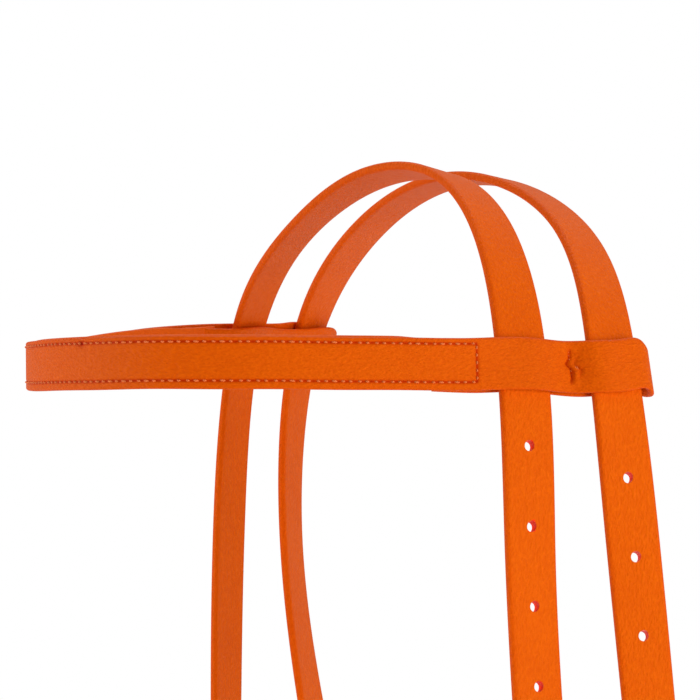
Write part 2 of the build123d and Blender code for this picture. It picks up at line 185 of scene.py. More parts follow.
# Browband forehead: its pucker, its dip and the lining sewn inside it
BROW_PUCKER = (14.0, -143.1)
PUCKER_WIDTH = 1.5
PUCKER_FROM = 4.5
PUCKER_FADE = 4.0
BROW_DIP = (-55.0, -118.0)
BROW_DIP_LENGTH = 30.0
BROW_SQUEEZE = 0.2
LINING_ROW = 1.5
LINING_GAP = 0.15
LINING_SKIP = 3.0
LINING_RISE = 0.35
LINING_OVER_TURN_BACK = 2.45
TURN_BACK_REACH = 22.0
TURN_BACK_FADE = 4.0

# Thread
STITCH_PITCH = 2.75
STITCH_LENGTH = 1.4
THREAD_RADIUS = 0.34
BAND_STITCH_TOP = 6.7
BAND_STITCH_BOTTOM = -5.7
BAND_STITCH_START = 4.1
CHANNEL_WIDTH = 0.5
CHANNEL_DEPTH = 0.3
STRAP_STITCH_INSET = 2.2
END_STITCH_INSET = 1.5
BUCKLE_SEWN_TOP = 13.5
SNAP_SEWN_LENGTH = 20.5

# Leather: grain in features per metre, and tints of its edges, channels and holes; the edges' tint
# is partly burnished colour and partly painted shade, the channels' colour is painted shade
PEBBLE_SCALE = 1500.0
CREASE_SCALE = 900.0
PATCH_SCALE = 42.0
GRAIN_DEPTH = 0.0006
SHEEN_TINT = (1.0, 0.25, 0.05, 1.0)
WHITE = (1.0, 1.0, 1.0)
FLECK_TINT = (0.92, 0.82, 0.66)
# Rolled edges' tint: partly burnished edge colour, partly painted shade where the edges turn from
# the light
RIM_BURNISH_AND_SHADE_TINT = (0.97, 0.86, 0.8)
# Painted shade in the sewn channels, needle holes, bar tack slits and the pucker
CHANNEL_SHADE_COLOUR = (0.46, 0.012, 0.0)
PUNCHED_COLOUR = (1.0, 0.05, 0.006)

# Camera and studio, in metres, degrees and watts
CAMERA_PLACE = (0.936487, -0.660245, -0.004460)
CAMERA_AZIMUTH = 56.044
CAMERA_ELEVATION = 2.721
CAMERA_LENS = 167.98
CAMERA_SENSOR = 36.0
SOFTBOXES = [
    ("overhead_softbox", (-0.4, 0.2, 1.25), (0.0, 0.0, -0.1), (1.2, 1.0), 9.0),
    ("near_softbox", (1.55, 0.35, -0.05), (0.0, 0.0, -0.25), (0.8, 1.1), 15.5),
    ("brow_softbox", (-0.7, -1.45, 0.1), (0.0, -0.1, -0.15), (0.9, 1.2), 12.0),
]
AMBIENT = 0.4
FLOOR_RADIUS = 1.9
FLOOR_DROP = 0.05


# Curves and sections


def unit(v):
    """Rows of vectors at length 1."""
    return v / np.linalg.norm(v, axis=-1, keepdims=True)


def natural_spline(rows, spacing):
    """Even samples of a natural cubic spline through rows that start with x, y and z."""
    data = np.array(rows, dtype=float)
    span = np.linalg.norm(np.diff(data[:, :3], axis=0), axis=1)
    knots = np.concatenate([[0], np.cumsum(span)])
    last = len(data) - 1
    system = np.eye(last + 1)
    right = np.zeros_like(data)
    for i in range(1, last):
        system[i, i - 1:i + 2] = span[i - 1], 2 * (span[i - 1] + span[i]), span[i]
        right[i] = 6 * ((data[i + 1] - data[i]) / span[i] - (data[i] - data[i - 1]) / span[i - 1])
    bend = np.linalg.solve(system, right)
    places = np.linspace(0, knots[-1], round(knots[-1] / spacing) + 1)
    i = np.clip(np.searchsorted(knots, places) - 1, 0, last - 1)
    a = ((knots[i + 1] - places) / span[i])[:, None]
    b = 1 - a
    square = (span[i] ** 2 / 6)[:, None]
    curve = (a**3 - a) * bend[i] + (b**3 - b) * bend[i + 1]
    return a * data[i] + b * data[i + 1] + curve * square


def side_vectors(yaw, tilt):
    """Direction of a strap's width for each yaw and tilt."""
    yaw, tilt = np.radians(yaw), np.radians(tilt)
    return np.stack([np.sin(yaw) * np.cos(tilt), np.cos(yaw) * np.cos(tilt), np.sin(tilt)], axis=-1)


def tangents(centres):
    """Direction of travel at each row."""
    return unit(np.gradient(centres, axis=0))


def section(half_wide, half_deep, radius, face_points):
    """Closed outline of a rounded rectangle, outer face first: rows of (across, out)."""
    points = []
    for sign in (1, -1):
        flat = np.linspace(half_wide - radius, radius - half_wide, face_points)
        points += [(sign * across, sign * half_deep) for across in flat]
        for first in (0, 1):
            for k in range(1 - first, 6):
                turn = math.pi / 2 * (first + k / 5)
                deep = half_deep - radius if first == 0 else radius - half_deep
                points.append((-sign * (half_wide - radius + radius * math.sin(turn)),
                               sign * (deep + radius * math.cos(turn))))
        points.pop()
    return np.array(points)


def rim_weight(across, half_wide, band=1.0):
    """1 on the rolled edge of a strap and 0 on its faces."""
    return np.clip((np.abs(across) - (half_wide - band)) / (0.8 * band), 0, 1)


def grid_mesh(name, rings, closed_ends=True):
    """Mesh skinned over rings of points (rows, points, 3), in millimetres."""
    rows, count = rings.shape[:2]
    mesh = bpy.data.meshes.new(name)
    verts = (rings.reshape(-1, 3) * MM).tolist()
    faces = []
    for r in range(rows - 1):
        for c in range(count):
            d = (c + 1) % count
            faces.append((r * count + c, r * count + d, (r + 1) * count + d, (r + 1) * count + c))
    if closed_ends:
        faces.append(tuple(range(count))[::-1])
        faces.append(tuple(range((rows - 1) * count, rows * count)))
    mesh.from_pydata(verts, [], faces)
    mesh.update()
    recalc(mesh)
    mesh.shade_smooth()
    return mesh


def recalc(mesh, weld=False):
    """Turns all faces outward, after welding rings that meet."""
    bm = bmesh.new()
    bm.from_mesh(mesh)
    if weld:
        bmesh.ops.remove_doubles(bm, verts=bm.verts, dist=1e-6)
    bmesh.ops.recalc_face_normals(bm, faces=bm.faces)
    bm.to_mesh(mesh)
    bm.free()


def new_object(name, mesh):
    """Object of a mesh, in the scene."""
    obj = bpy.data.objects.new(name, mesh)
    bpy.context.scene.collection.objects.link(obj)
    return obj


def strap_rings(centres, sides, half_share, profile):
    """Rings of a strap: half_share narrows each row, as at a billet's tip."""
    along = tangents(centres)
    sides = unit(sides - along * np.sum(sides * along, axis=1, keepdims=True))
    normals = np.cross(sides, along)
    across = profile[None, :, 0:1] * half_share[:, None, None]
    through = profile[None, :, 1:2]
    return centres[:, None] + sides[:, None] * across + normals[:, None] * through


def add_float(mesh, name, values):
    """Number at each vertex, for a material to read."""
    attribute = mesh.attributes.new(name, "FLOAT", "POINT")
    attribute.data.foreach_set("value", np.asarray(values, dtype=np.float32).ravel())


def cutter_object(cutters):
    """One object of closed cutters: each is (matrix, size, whether it is round)."""
    mesh = bpy.data.meshes.new("cutters")
    bm = bmesh.new()
    for matrix, size, is_round in cutters:
        if is_round:
            made = bmesh.ops.create_cone(bm, cap_ends=True, segments=40, radius1=size[0],
                                         radius2=size[0], depth=size[1])
        else:
            made = bmesh.ops.create_cube(bm, size=1.0)
            bmesh.ops.scale(bm, vec=size, verts=made["verts"])
        bmesh.ops.transform(bm, matrix=matrix, verts=made["verts"])
    bm.to_mesh(mesh)
    bm.free()
    return new_object("cutter", mesh)


def cut(obj, cutters):
    """Boolean difference, applied to the mesh, with the walls of its round holes marked."""
    cutter = cutter_object(cutters)
    modifier = obj.modifiers.new("holes", "BOOLEAN")
    modifier.object = cutter
    modifier.solver = "EXACT"
    graph = bpy.context.evaluated_depsgraph_get()
    result = bpy.data.meshes.new_from_object(obj.evaluated_get(graph))
    obj.modifiers.clear()
    obj.data = result
    bpy.data.objects.remove(cutter)
    result.shade_smooth()
    result.set_sharp_from_angle(angle=SHARP_ANGLE)
    to_hole = [matrix.inverted() for matrix, size, is_round in cutters if is_round]
    walls = np.zeros(len(result.polygons), dtype=np.float32)
    for k, polygon in enumerate(result.polygons):
        for inverse in to_hole:
            local = inverse @ polygon.center
            if math.hypot(local.x, local.y) < (HOLE_RADIUS + 0.02) * MM and abs(local.z) < 4 * MM:
                walls[k] = 1.0
    result.attributes.new("cut", "FLOAT", "FACE").data.foreach_set("value", walls)


# Straps


def fold_points(bar_n, bar_z, main_n, turn, way):
    """Turned-back end in a plumb strap's own plane, from its bar on: rows of (outward, z)."""
    reach = abs(bar_n - main_n)
    back = 2 * bar_n - main_n
    close = main_n + (STRAP_THICK + LAYER_GAP) * (1 if back > main_n else -1)
    points = []
    for k in range(17):
        angle = math.pi * k / 16
        points.append((bar_n + (main_n - bar_n) * math.cos(angle),
                       bar_z + way * reach * math.sin(angle)))
    for k in range(1, 15):
        share = k / 14
        ease = share * share * (3 - 2 * share)
        points.append((back + (close - back) * ease, bar_z - way * SETTLE_LENGTH * share))
    rest = turn - SETTLE_LENGTH
    count = round(rest / 3)
    for k in range(1, count + 1):
        points.append((close, bar_z - way * (SETTLE_LENGTH + rest * k / count)))
    return np.array(points)


def plumb_points(place, yaw, outward, local):
    """Local (outward, z) rows of a plumb strap as points in space."""
    turn = math.radians(yaw)
    out = np.array([outward * math.cos(turn), -outward * math.sin(turn), 0.0])
    base = np.array([place[0], place[1], 0.0])
    return base + local[:, 0:1] * out + local[:, 1:2] * np.array([0.0, 0.0, 1.0])


def straight(n, start_z, end_z, step=3.0):
    """Plumb run from start_z to end_z, both ends left out."""
    count = max(2, round(abs(end_z - start_z) / step))
    return np.array([(n, start_z + (end_z - start_z) * k / count) for k in range(1, count)])


def tip_share(centres):
    """Width of each row as a share of the whole, rounded at the billet's tip."""
    d = np.clip(walked_lengths(centres), 0, TIP_RADIUS)
    inset = TIP_RADIUS - np.sqrt(np.clip(TIP_RADIUS**2 - (TIP_RADIUS - d) ** 2, 0, None))
    return 1 - inset / (STRAP_WIDTH / 2)


def billet_rows(route, first_hole):
    """Tail from its tip up to the route's first station, close together at the rounded tip."""
    tip = first_hole - FASTENED_HOLE * HOLE_PITCH - TAIL_BELOW_PRONG
    heights = [tip + TIP_RADIUS * (1 - math.cos(math.pi / 2 * k / 8)) for k in range(9)]
    heights += list(np.arange(tip + TIP_RADIUS + 2.5, route[0][2] - 1.0, 2.5))
    return np.array([(0.0, z) for z in heights])


def billet_cutters(route, first_hole, samples):
    """Round holes down the billet, and the drawn-out hole where the prong sits."""
    leg = samples[samples[:, 0] > NEAR_LEG_X]
    cutters = []
    for k in range(HOLE_COUNT):
        z = first_hole - k * HOLE_PITCH
        at = leg[np.argmin(np.abs(leg[:, 2] - z))] if z > route[0][2] else np.array(route[0])
        turn = math.radians(at[3])
        place = Matrix.Translation(Vector((at[0] * MM, at[1] * MM, z * MM)))
        facing = place @ Matrix.Rotation(-turn, 4, "Z")
        deep = (9.0 if z > route[0][2] else STRAP_THICK + 0.4) * MM
        if k == FASTENED_HOLE:
            cutters.append((facing, Vector((deep, PRONG_SLOT[0] * MM, PRONG_SLOT[1] * MM)), False))
        else:
            upright = facing @ Matrix.Rotation(math.pi / 2 - HOLE_DROP, 4, "Y")
            cutters.append((upright, (HOLE_RADIUS * MM, deep), True))
    return cutters


def eye_slot_cutter(place, yaw, heel_z):
    """Slot in the turned-back end for the prong's eye."""
    turn = math.radians(yaw)
    out = Vector((math.cos(turn), -math.sin(turn), 0.0))
    spot = Vector((place[0], place[1], heel_z + 1.0)) + out * (HEEL_N - 0.5)
    facing = Matrix.Translation(spot * MM) @ Matrix.Rotation(-turn, 4, "Z")
    return facing, Vector(PRONG_EYE_SLOT) * MM, False


STRAP_SECTION = section(STRAP_WIDTH / 2 + EDGE_ROLL, STRAP_THICK / 2, STRAP_CORNER, 13)


def strap_object(name, centres, sides, share, cutters):
    """Strap along its rows, with its holes cut and its rolled edges marked."""
    rings = strap_rings(centres, sides, share, STRAP_SECTION)
    mesh = grid_mesh(name, rings)
    add_float(mesh, "rim", np.tile(rim_weight(STRAP_SECTION[:, 0], STRAP_WIDTH / 2), len(centres)))
    obj = new_object(name, mesh)
    cut(obj, cutters)
    return obj


def heel_height(first_hole):
    """Height of the buckle's heel bar when the billet is fastened."""
    return first_hole - FASTENED_HOLE * HOLE_PITCH - PRONG_ABOVE_HEEL


def crown_strap():
    """Billet with holes, over the poll, down the off cheek and round the off snap's eye."""
    samples = natural_spline(CROWN_ROUTE, 2.0)
    near, off = CROWN_ROUTE[0], CROWN_ROUTE[-1]
    tail = plumb_points(near, near[3], 1, billet_rows(CROWN_ROUTE, CROWN_FIRST_HOLE_Z))
    run = plumb_points(off, off[3], -1, straight(0.0, off[2], SNAP_BAR_Z))
    turned = fold_points(-BAR_REACH, SNAP_BAR_Z, 0.0, SNAP_TURN_BACK, -1)
    fold = plumb_points(off, off[3], -1, turned)
    centres = np.vstack([tail, samples[:, :3], run, fold])
    sides = np.vstack([
        np.tile(side_vectors(near[3], 0.0), (len(tail), 1)),
        side_vectors(samples[:, 3], samples[:, 4]),
        np.tile(side_vectors(off[3], 0.0), (len(run) + len(fold), 1)),
    ])
    cutters = billet_cutters(CROWN_ROUTE, CROWN_FIRST_HOLE_Z, samples)
    return strap_object("crown_strap_leather", centres, sides, tip_share(centres), cutters)


def throat_strap():
    """Billet with holes, over the poll, under the throat and up to its buckle."""
    near = THROAT_ROUTE[0]
    rise = plumb_points(near, near[3], 1, np.array([(-LAYER_STEP, THROAT_PLUMB_Z)]))[0]
    route = THROAT_ROUTE + [(rise[0], rise[1], rise[2], near[3], 0.0)]
    samples = natural_spline(route, 2.0)
    heel_z = heel_height(THROAT_FIRST_HOLE_Z)
    tail = plumb_points(near, near[3], 1, billet_rows(THROAT_ROUTE, THROAT_FIRST_HOLE_Z))
    run = plumb_points(near, near[3], 1, straight(-LAYER_STEP, THROAT_PLUMB_Z, heel_z))
    turned = fold_points(HEEL_N, heel_z, -LAYER_STEP, TURN_BACK_LENGTH, 1)
    fold = plumb_points(near, near[3], 1, turned)
    centres = np.vstack([tail, samples[:, :3], run, fold])
    sides = np.vstack([
        np.tile(side_vectors(near[3], 0.0), (len(tail), 1)),
        side_vectors(samples[:, 3], samples[:, 4]),
        np.tile(side_vectors(near[3], 0.0), (len(run) + len(fold), 1)),
    ])
    cutters = billet_cutters(THROAT_ROUTE, THROAT_FIRST_HOLE_Z, samples)
    cutters.append(eye_slot_cutter(near, near[3], heel_z))
    return strap_object("throatlatch_leather", centres, sides, tip_share(centres), cutters)


def cheek_strap():
    """Short near strap, turned back round the cheek buckle and round the near snap's eye."""
    near = CROWN_ROUTE[0]
    heel_z = heel_height(CROWN_FIRST_HOLE_Z)
    low_bar = -LAYER_STEP - BAR_REACH
    top = fold_points(HEEL_N, heel_z, -LAYER_STEP, TURN_BACK_LENGTH, 1)[::-1]
    low = fold_points(low_bar, SNAP_BAR_Z, -LAYER_STEP, SNAP_TURN_BACK, -1)
    local = np.vstack([top, straight(-LAYER_STEP, heel_z, SNAP_BAR_Z), low])
    centres = plumb_points(near, near[3], 1, local)
    sides = np.tile(side_vectors(near[3], 0.0), (len(centres), 1))
    cutters = [eye_slot_cutter(near, near[3], heel_z)]
    return strap_object("near_cheek_leather", centres, sides, np.ones(len(centres)), cutters)


# Browband


def beside(station, along, out, outward):
    """Point in plan beside a strap's station, along its width and outward from the horse."""
    yaw = math.radians(station[3])
    return (station[0] + math.sin(yaw) * along + math.cos(yaw) * outward * out,
            station[1] + math.cos(yaw) * along - math.sin(yaw) * outward * out)


def tack_station(crown, throat):
    """Place between the two straps where both layers of a loop are sewn together."""
    return tuple(a * (1 - TACK_SHARE) + b * TACK_SHARE for a, b in zip(crown, throat))


def loop_rows(name, crown, throat, outward, level):
    """Rows of one browband end, from its joint with the arc round both straps to the end inside."""
    fold, lean = STRAP_WIDTH / 2 + FOLD_SLACK, LOOP_LEAN[name]
    high, low = OUTER_SAG[name], INNER_SAG[name]
    middle = tack_station(crown, throat)
    rows = [
        (*beside(crown, -4, LOOP_REACH, outward), level, lean),
        (*beside(crown, 5, LOOP_REACH, outward), level - 0.3 * high, lean),
        (*beside(middle, 0, LOOP_REACH - LOOP_PINCH, outward), level - high, lean),
        (*beside(throat, -7, LOOP_REACH + 0.3, outward), level - 0.9 * high, lean),
        (*beside(throat, 4, LOOP_REACH + 0.5, outward), level - 0.7 * high, lean),
    ]
    for k in range(5):
        turn = math.pi * k / 4
        past = fold + FOLD_REACH[name] * math.sin(turn)
        spot = beside(throat, past, LOOP_REACH * math.cos(turn), outward)
        sag = 0.7 * high + (low - 0.7 * high) * (k / 4) ** 0.7 + FOLD_SAG[name] * math.sin(turn)
        rows.append((*spot, level - sag, lean))
    rows += [
        (*beside(throat, -4, -LOOP_REACH - 0.3, outward), level - low, lean),
        (*beside(middle, 0, LOOP_PINCH - LOOP_REACH, outward), level - low, lean),
        (*beside(crown, 0, -LOOP_REACH, outward), level - 0.4 * low, lean),
    ]
    rows += [(outward * x, y, level - sink, lean / 2) for x, y, sink in TURN_BACK_REST[name]]
    return rows


def band_frame(rows):
    """Centres, upward and outward vectors of (x, y, z, lean) rows, anticlockwise from above."""
    centres = rows[:, :3]
    ahead = tangents(centres * np.array([1.0, 1.0, 0.0]))
    ups = np.stack([rows[:, 3], np.zeros(len(rows)), np.ones(len(rows))], axis=-1)
    outs = np.cross(ups * np.array([0.0, 0.0, 1.0]), ahead)
    return centres, ups, outs


def walked_lengths(centres):
    """Length from the first row to each row."""
    steps = np.linalg.norm(np.diff(centres, axis=0), axis=1)
    return np.concatenate([[0], np.cumsum(steps)])


def nearest_length(centres, walked, place):
    """Length along the band at its row nearest to a place in plan."""
    return walked[np.argmin(np.linalg.norm(centres[:, :2] - np.array(place[:2]), axis=1))]


def gauss(x, width):
    """Bell curve, 1 where x is 0."""
    return np.exp(-(x / width) ** 2)


def top_squeeze(centres):
    """How much of its upper height the band keeps, less where it dips round the forehead."""
    away = np.linalg.norm(centres[:, :2] - np.array(BROW_DIP), axis=1)
    return 1 - BROW_SQUEEZE * gauss(away, BROW_DIP_LENGTH)


def squeezed(height, keep):
    """Heights with those above the middle scaled by keep."""
    return np.where(height > 0, height * keep, height)


def browband_rows():
    """Rows of the whole browband strap, from the near end inside to the off end inside."""
    near, off = (loop_rows(*loop) for loop in LOOPS)
    return natural_spline(near[::-1] + BAND_ARC + off, BAND_ROW)


def sewn_span(centres, walked):
    """Lengths along the band where its sewn rectangle starts and ends."""
    return (nearest_length(centres, walked, BAND_ARC[0]) + BAND_STITCH_START,
            nearest_length(centres, walked, BAND_ARC[-1]) - BAND_STITCH_START)


def stitch_channels(s, height, start, end):
    """How far each point lies in the sewn channel, and how near to a needle hole, 0 to 1."""
    inside = ((s > start) & (s < end)).astype(float)
    between = ((height < BAND_STITCH_TOP) & (height > BAND_STITCH_BOTTOM)).astype(float)
    long_rows = (gauss(height - BAND_STITCH_TOP, CHANNEL_WIDTH)
                 + gauss(height - BAND_STITCH_BOTTOM, CHANNEL_WIDTH))
    end_rows = gauss(s - start, CHANNEL_WIDTH) + gauss(s - end, CHANNEL_WIDTH)
    hole = 0.5 + 0.5 * np.cos(2 * math.pi * (s - start) / STITCH_PITCH)
    return np.clip(inside * long_rows + between * end_rows, 0, 1), hole


def mark(aft, height, spot, size):
    """Soft oval mark, 1 in its middle."""
    return gauss(aft - spot[0], size[0]) * gauss(height - spot[1], size[1])


def tack_relief(aft, height):
    """Marks of a bar tack by distance aft of it: (depth of the dents, share of painted shade in its
    slit and crease).
    """
    aft = aft + 0.45 * np.tanh(height / 0.8) - 0.17 * height + 0.9 * gauss(height - 0.9, 1.3)
    reach = np.clip((TACK_HEIGHT / 2 + 0.6 - np.abs(height)) / 1.2, 0, 1)
    crease = mark(aft + 0.08 * (height + 1) ** 2, height, *CREASE_MARK)
    raised = 0.9 * mark(aft, height, *KNOT_MARK)
    hollow = mark(aft, height, *HOLLOW_MARK)
    deep = 1.1 * gauss(aft, 0.45) * reach + 0.7 * crease - raised + hollow
    return deep, gauss(aft, 0.36) * reach + 0.7 * crease


def browband():
    """One strap on edge: near loops, forehead arc with its sewn channels, off loops."""
    centres, ups, outs = band_frame(browband_rows())
    walked = walked_lengths(centres)
    profile = section(BAND_HEIGHT / 2, BAND_LAYER / 2, BAND_CORNER, 46)
    height, out = profile[None, :, 0], profile[None, :, 1]
    s = walked[:, None]
    outer = (out > BAND_LAYER / 2 - 0.01).astype(float)

    channel, hole = stitch_channels(s, height, *sewn_span(centres, walked))
    dent = CHANNEL_DEPTH * channel * (0.55 + 0.45 * hole)
    # Painted shade in the sewn channels, deepest at the needle holes
    recess_shade = channel * (0.7 + 0.3 * hole)
    crush = np.zeros_like(s)
    for name, crown, throat, outward, level in LOOPS:
        sewn = beside(tack_station(crown, throat), 0, LOOP_REACH - LOOP_PINCH, outward)
        at = nearest_length(centres, walked, sewn)
        # The tack's dark share is painted shade in its slit and crease
        deep, dark = tack_relief(-outward * (s - at), height)
        dent, recess_shade = dent + deep, recess_shade + dark
        fold = beside(throat, STRAP_WIDTH / 2 + FOLD_REAR, 0, outward)
        rear = nearest_length(centres, walked, fold)
        crush = crush + FOLD_CRUSH[name] * gauss(s - rear, FOLD_CRUSH_LENGTH)
    pucker = gauss(s - nearest_length(centres, walked, BROW_PUCKER), PUCKER_WIDTH)
    pucker = pucker * np.clip((height - PUCKER_FROM) / PUCKER_FADE, 0, 1)
    # The pucker gets painted shade as well as its dent, on the outer face only
    dent, recess_shade = (dent + 0.8 * pucker) * outer, (recess_shade + 0.9 * pucker) * outer

    wander = 0.12 * np.sin(s / 9.0 + 1.0) * np.sin(s / 23.0) - 0.45 * pucker
    height = squeezed(height, (1 - crush) * top_squeeze(centres)[:, None])
    points = (centres[:, None] + ups[:, None] * (height + wander)[..., None]
              + outs[:, None] * (out - dent)[..., None])
    mesh = grid_mesh("browband_leather", points)
    add_float(mesh, "rim", np.tile(rim_weight(profile[:, 0], BAND_HEIGHT / 2), len(centres)))
    add_float(mesh, "recess_shade", np.clip(recess_shade, 0, 1))
    return new_object("browband_leather", mesh)


def thread_mesh(name, stitches):
    """Short bowed threads: each is (start, end, outward), its ends sunk in their needle holes."""
    rings, around = 7, 8
    bm = bmesh.new()
    for start, end, outward in stitches:
        start, end, outward = Vector(start), Vector(end), Vector(outward).normalized()
        along = (end - start).normalized()
        side = along.cross(outward)
        loops = []
        for r in range(rings):
            share = r / (rings - 1)
            bow = math.sin(math.pi * share)
            thick = THREAD_RADIUS * (0.35 + 0.65 * bow ** 0.6)
            centre = start.lerp(end, share) + outward * (0.34 * bow - 0.26)
            loop = []
            for a in range(around):
                turn = 2 * math.pi * a / around
                spot = centre + (side * math.cos(turn) + outward * math.sin(turn) * 0.85) * thick
                loop.append(bm.verts.new(spot * MM))
            loops.append(loop)
        for r in range(rings - 1):
            for a in range(around):
                b = (a + 1) % around
                bm.faces.new((loops[r][a], loops[r][b], loops[r + 1][b], loops[r + 1][a]))
        bm.faces.new(loops[0][::-1])
        bm.faces.new(loops[-1])
    bmesh.ops.recalc_face_normals(bm, faces=bm.faces)
    mesh = bpy.data.meshes.new(name)
    bm.to_mesh(mesh)
    bm.free()
    mesh.shade_smooth()
    return new_object(name, mesh)


def browband_thread():
    """Single stitches round the sewn rectangle on the browband's outer face."""
    centres, ups, outs = band_frame(browband_rows())
    walked = walked_lengths(centres)
    start, end = sewn_span(centres, walked)
    keep = top_squeeze(centres)

    def spot(s, height):
        i = int(np.argmin(np.abs(walked - s)))
        place = centres[i] + ups[i] * squeezed(height, keep[i]) + outs[i] * (BAND_LAYER / 2)
        return place, outs[i]

    stitches = []
    gap = (STITCH_PITCH - STITCH_LENGTH) / 2
    for k in range(int((end - start) / STITCH_PITCH)):
        for height in (BAND_STITCH_TOP, BAND_STITCH_BOTTOM):
            a, out = spot(start + k * STITCH_PITCH + gap, height - 0.1)
            b, out = spot(start + (k + 1) * STITCH_PITCH - gap, height + 0.1)
            stitches.append((a, b, out))
    count = round((BAND_STITCH_TOP - BAND_STITCH_BOTTOM) / STITCH_PITCH)
    pitch = (BAND_STITCH_TOP - BAND_STITCH_BOTTOM) / count
    for s in (start, end):
        for k in range(count):
            a, out = spot(s, BAND_STITCH_BOTTOM + k * pitch + gap)
            b, out = spot(s, BAND_STITCH_BOTTOM + (k + 1) * pitch - gap)
            stitches.append((a, b, out))
    return thread_mesh("browband_thread", stitches)


def lining():
    """Second strap sewn inside the forehead arc."""
    rows = natural_spline(BAND_ARC, LINING_ROW)
    walked = walked_lengths(rows[:, :3])
    rows = rows[(walked > LINING_SKIP) & (walked < walked[-1] - LINING_SKIP)]
    centres, ups, outs = band_frame(rows)
    profile = section(BAND_HEIGHT / 2, BAND_LAYER / 2, BAND_CORNER, 12)
    from_end = np.minimum(np.arange(len(rows)), np.arange(len(rows))[::-1]) * LINING_ROW
    over = 0.5 - 0.5 * np.tanh((from_end - TURN_BACK_REACH) / TURN_BACK_FADE)
    inward = -(BAND_LAYER + LINING_GAP) - LINING_OVER_TURN_BACK * over
    height = squeezed(profile[None, :, 0], top_squeeze(centres)[:, None])
    rise = LINING_RISE * (1 - 2.2 * over)
    points = (centres[:, None] + ups[:, None] * (height + rise[:, None])[..., None]
              + outs[:, None] * (profile[None, :, 1] + inward[:, None])[..., None])
    mesh = grid_mesh("browband_lining_leather", points)
    return new_object("browband_lining_leather", mesh)


def bar_tack(name, crown, throat, outward, level):
    """Threads through both layers of a loop, ending in a short bar on its outer face."""
    middle = tack_station(crown, throat)
    lean, sag = LOOP_LEAN[name], OUTER_SAG[name]
    stitches = []
    for k in range(9):
        height = TACK_HEIGHT * (k / 8 - 0.5) * 0.9
        shift = np.array([lean * height, 0.0, height - sag])
        outer = np.array([*beside(middle, 0, LOOP_REACH - LOOP_PINCH, outward), level]) + shift
        inside = beside(middle, 0, LOOP_PINCH - LOOP_REACH - 0.8, outward)
        inner = np.array([*inside, level]) + shift
        stitches.append((outer, inner, (0.0, 0.0, 1.0)))
    for across in (-0.3, 0.3):
        ends = []
        for height in KNOT_ENDS:
            spot = beside(middle, KNOT_AFT + across, LOOP_REACH - LOOP_PINCH + KNOT_RISE, outward)
            ends.append(np.array([*spot, level]) + np.array([lean * height, 0.0, height - sag]))
        x, y = beside(middle, 0, 1, outward)
        stitches.append((*ends, (x - middle[0], y - middle[1], 0.0)))
    return thread_mesh(name + "_tack_thread", stitches)


# Strap stitching and keepers


def turn_back_thread(name, place, outward, faces, top, bottom):
    """Two rows of stitches down both faces of a sewn turn-back."""
    stitches = []
    count = round((top - bottom) / STITCH_PITCH)
    for n, facing in faces:
        for side in (-1, 1):
            along = side * (STRAP_WIDTH / 2 - STRAP_STITCH_INSET)
            x, y = beside(place, along, n, outward)
            ox, oy = beside(place, along, n + facing, outward)
            for k in range(count):
                low = bottom + k * STITCH_PITCH + 0.4
                stitches.append(((x, y, low), (x, y, low + STITCH_LENGTH), (ox - x, oy - y, 0.0)))
    return thread_mesh(name, stitches)


def keeper(name, place, mid_z, gap):
    """Leather loop round the billet and both layers of the turned-back end."""
    inner, outer = -2 * LAYER_STEP - STRAP_THICK / 2 + 0.3 - gap, STRAP_THICK / 2 + gap
    half_deep = (outer - inner) / 2 + KEEPER_THICK / 2
    half_wide = STRAP_WIDTH / 2 + gap + KEEPER_THICK / 2
    middle, corner = (outer + inner) / 2, KEEPER_CORNER
    plan = []
    for sx, sy, first in ((1, 1, 0), (-1, 1, 1), (-1, -1, 2), (1, -1, 3)):
        for k in range(7):
            turn = math.pi / 2 * (first + k / 6)
            plan.append((sx * (half_deep - corner) + corner * math.cos(turn),
                         sy * (half_wide - corner) + corner * math.sin(turn),
                         math.cos(turn), math.sin(turn)))
    outline = section(KEEPER_HEIGHT / 2, KEEPER_THICK / 2, 0.7, 7)
    rings = []
    for n, along, facing_n, facing_along in plan + plan[:1]:
        ring = []
        for height, out in outline:
            x, y = beside(place, along + facing_along * out, middle + n + facing_n * out, 1)
            ring.append((x, y, mid_z + height))
        rings.append(ring)
    mesh = grid_mesh(name, np.array(rings), closed_ends=False)
    recalc(mesh, weld=True)
    heights = np.array([v.co.z / MM - mid_z for v in mesh.vertices])
    add_float(mesh, "rim", rim_weight(heights, KEEPER_HEIGHT / 2 + 0.1))
    return new_object(name, mesh)


# Materials


def fresh_material(name):
    """Material, its node tree, its shader and its object coordinates."""
    material = bpy.data.materials.new(name)
    material.use_nodes = True
    tree = material.node_tree
    place = tree.nodes.new("ShaderNodeTexCoord")
    return material, tree, tree.nodes["Principled BSDF"], place.outputs["Object"]


def noise(tree, place, scale, detail=4.0, rough=0.6):
    """Noise output over a place."""
    texture = tree.nodes.new("ShaderNodeTexNoise")
    texture.inputs["Scale"].default_value = scale
    texture.inputs["Detail"].default_value = detail
    texture.inputs["Roughness"].default_value = rough
    tree.links.new(place, texture.inputs["Vector"])
    return texture.outputs["Fac"]


def mapped(tree, value, low, high, to_low=0.0, to_high=1.0):
    """Value moved from one range to another."""
    node = tree.nodes.new("ShaderNodeMapRange")
    ends = {"From Min": low, "From Max": high, "To Min": to_low, "To Max": to_high}
    for key, number in ends.items():
        node.inputs[key].default_value = number
    tree.links.new(value, node.inputs["Value"])
    return node.outputs["Result"]


def mixed(tree, share, first, second, blend="MIX"):
    """Colour between two colours or outputs."""
    node = tree.nodes.new("ShaderNodeMix")
    node.data_type = "RGBA"
    node.blend_type = blend
    tree.links.new(share, node.inputs[0])
    for socket, colour in ((node.inputs[6], first), (node.inputs[7], second)):
        if isinstance(colour, tuple):
            socket.default_value = (*colour, 1.0)
        else:
            tree.links.new(colour, socket)
    return node.outputs[2]


